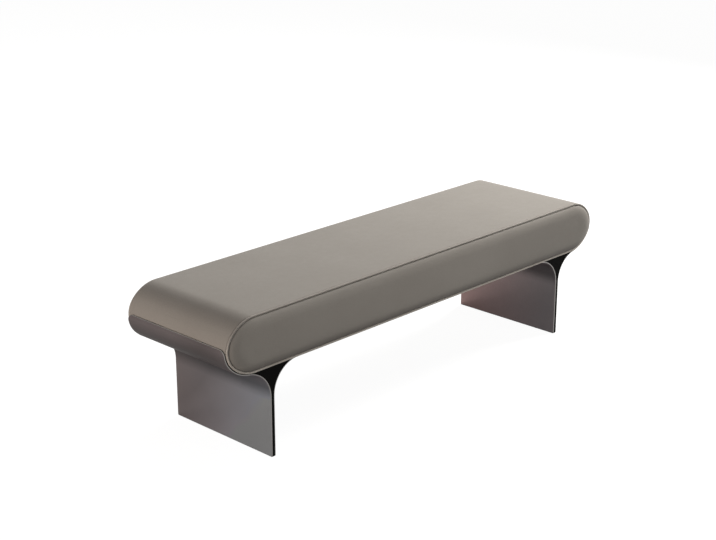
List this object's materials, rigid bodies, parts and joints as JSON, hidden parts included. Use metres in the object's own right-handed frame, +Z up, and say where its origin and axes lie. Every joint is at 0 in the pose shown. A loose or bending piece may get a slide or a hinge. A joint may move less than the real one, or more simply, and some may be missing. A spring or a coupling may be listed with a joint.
{
  "type": "bed bench",
  "caption": "Long leather-upholstered bench with a flat top, rounded ends and piped side panels, on two bent metal sheet legs that flare up and cradle the ends.",
  "frame": {"origin": "on the floor, under the middle of the seat", "axes": "+X along the bench towards the right end as seen from the front, +Y from the front side panel to the rear one, +Z up"},
  "size_m": [1.6, 0.43, 0.43],
  "materials": {
    "leather": "taupe grey full-grain leather, soft satin",
    "bronze_metal": "dark bronze, satin",
    "black_core": "plywood stained matt black",
    "plywood": "plain birch plywood",
    "webbing": "woven elastic strap",
    "foam": "firm upholstery foam",
    "lining": "thin black lining cloth",
    "felt": "dark grey felt",
    "foot_pad": "matt black strip",
    "zinc_steel": "zinc plated"
  },
  "bodies": {
    "root": {"top_cover": "leather", "front_side_panel": "leather", "rear_side_panel": "leather", "front_piping": "leather", "rear_piping": "leather", "base_board": "plywood", "front_rail": "plywood", "rear_rail": "plywood", "cross_rail_1": "plywood", "cross_rail_2": "plywood", "cross_rail_3": "plywood", "cross_rail_4": "plywood", "cross_rail_5": "plywood", "webbing_strap_1": "webbing", "webbing_strap_2": "webbing", "webbing_strap_3": "webbing", "webbing_strap_4": "webbing", "webbing_strap_5": "webbing", "webbing_strap_6": "webbing", "webbing_strap_7": "webbing", "webbing_strap_8": "webbing", "seat_foam": "foam", "left_end_foam": "foam", "right_end_foam": "foam", "front_side_foam": "foam", "rear_side_foam": "foam", "dust_cover": "lining", "left_outer_sheet": "bronze_metal", "left_inner_sheet": "bronze_metal", "left_core_panel": "black_core", "left_front_gusset": "black_core", "left_middle_gusset": "black_core", "left_rear_gusset": "black_core", "left_cradle_liner": "felt", "left_foot_pad": "foot_pad", "left_flange_screws": "zinc_steel", "left_flange_washers": "zinc_steel", "left_tee_nuts": "zinc_steel", "right_outer_sheet": "bronze_metal", "right_inner_sheet": "bronze_metal", "right_core_panel": "black_core", "right_front_gusset": "black_core", "right_middle_gusset": "black_core", "right_rear_gusset": "black_core", "right_cradle_liner": "felt", "right_foot_pad": "foot_pad", "right_flange_screws": "zinc_steel", "right_flange_washers": "zinc_steel", "right_tee_nuts": "zinc_steel"}
  },
  "joints": []
}
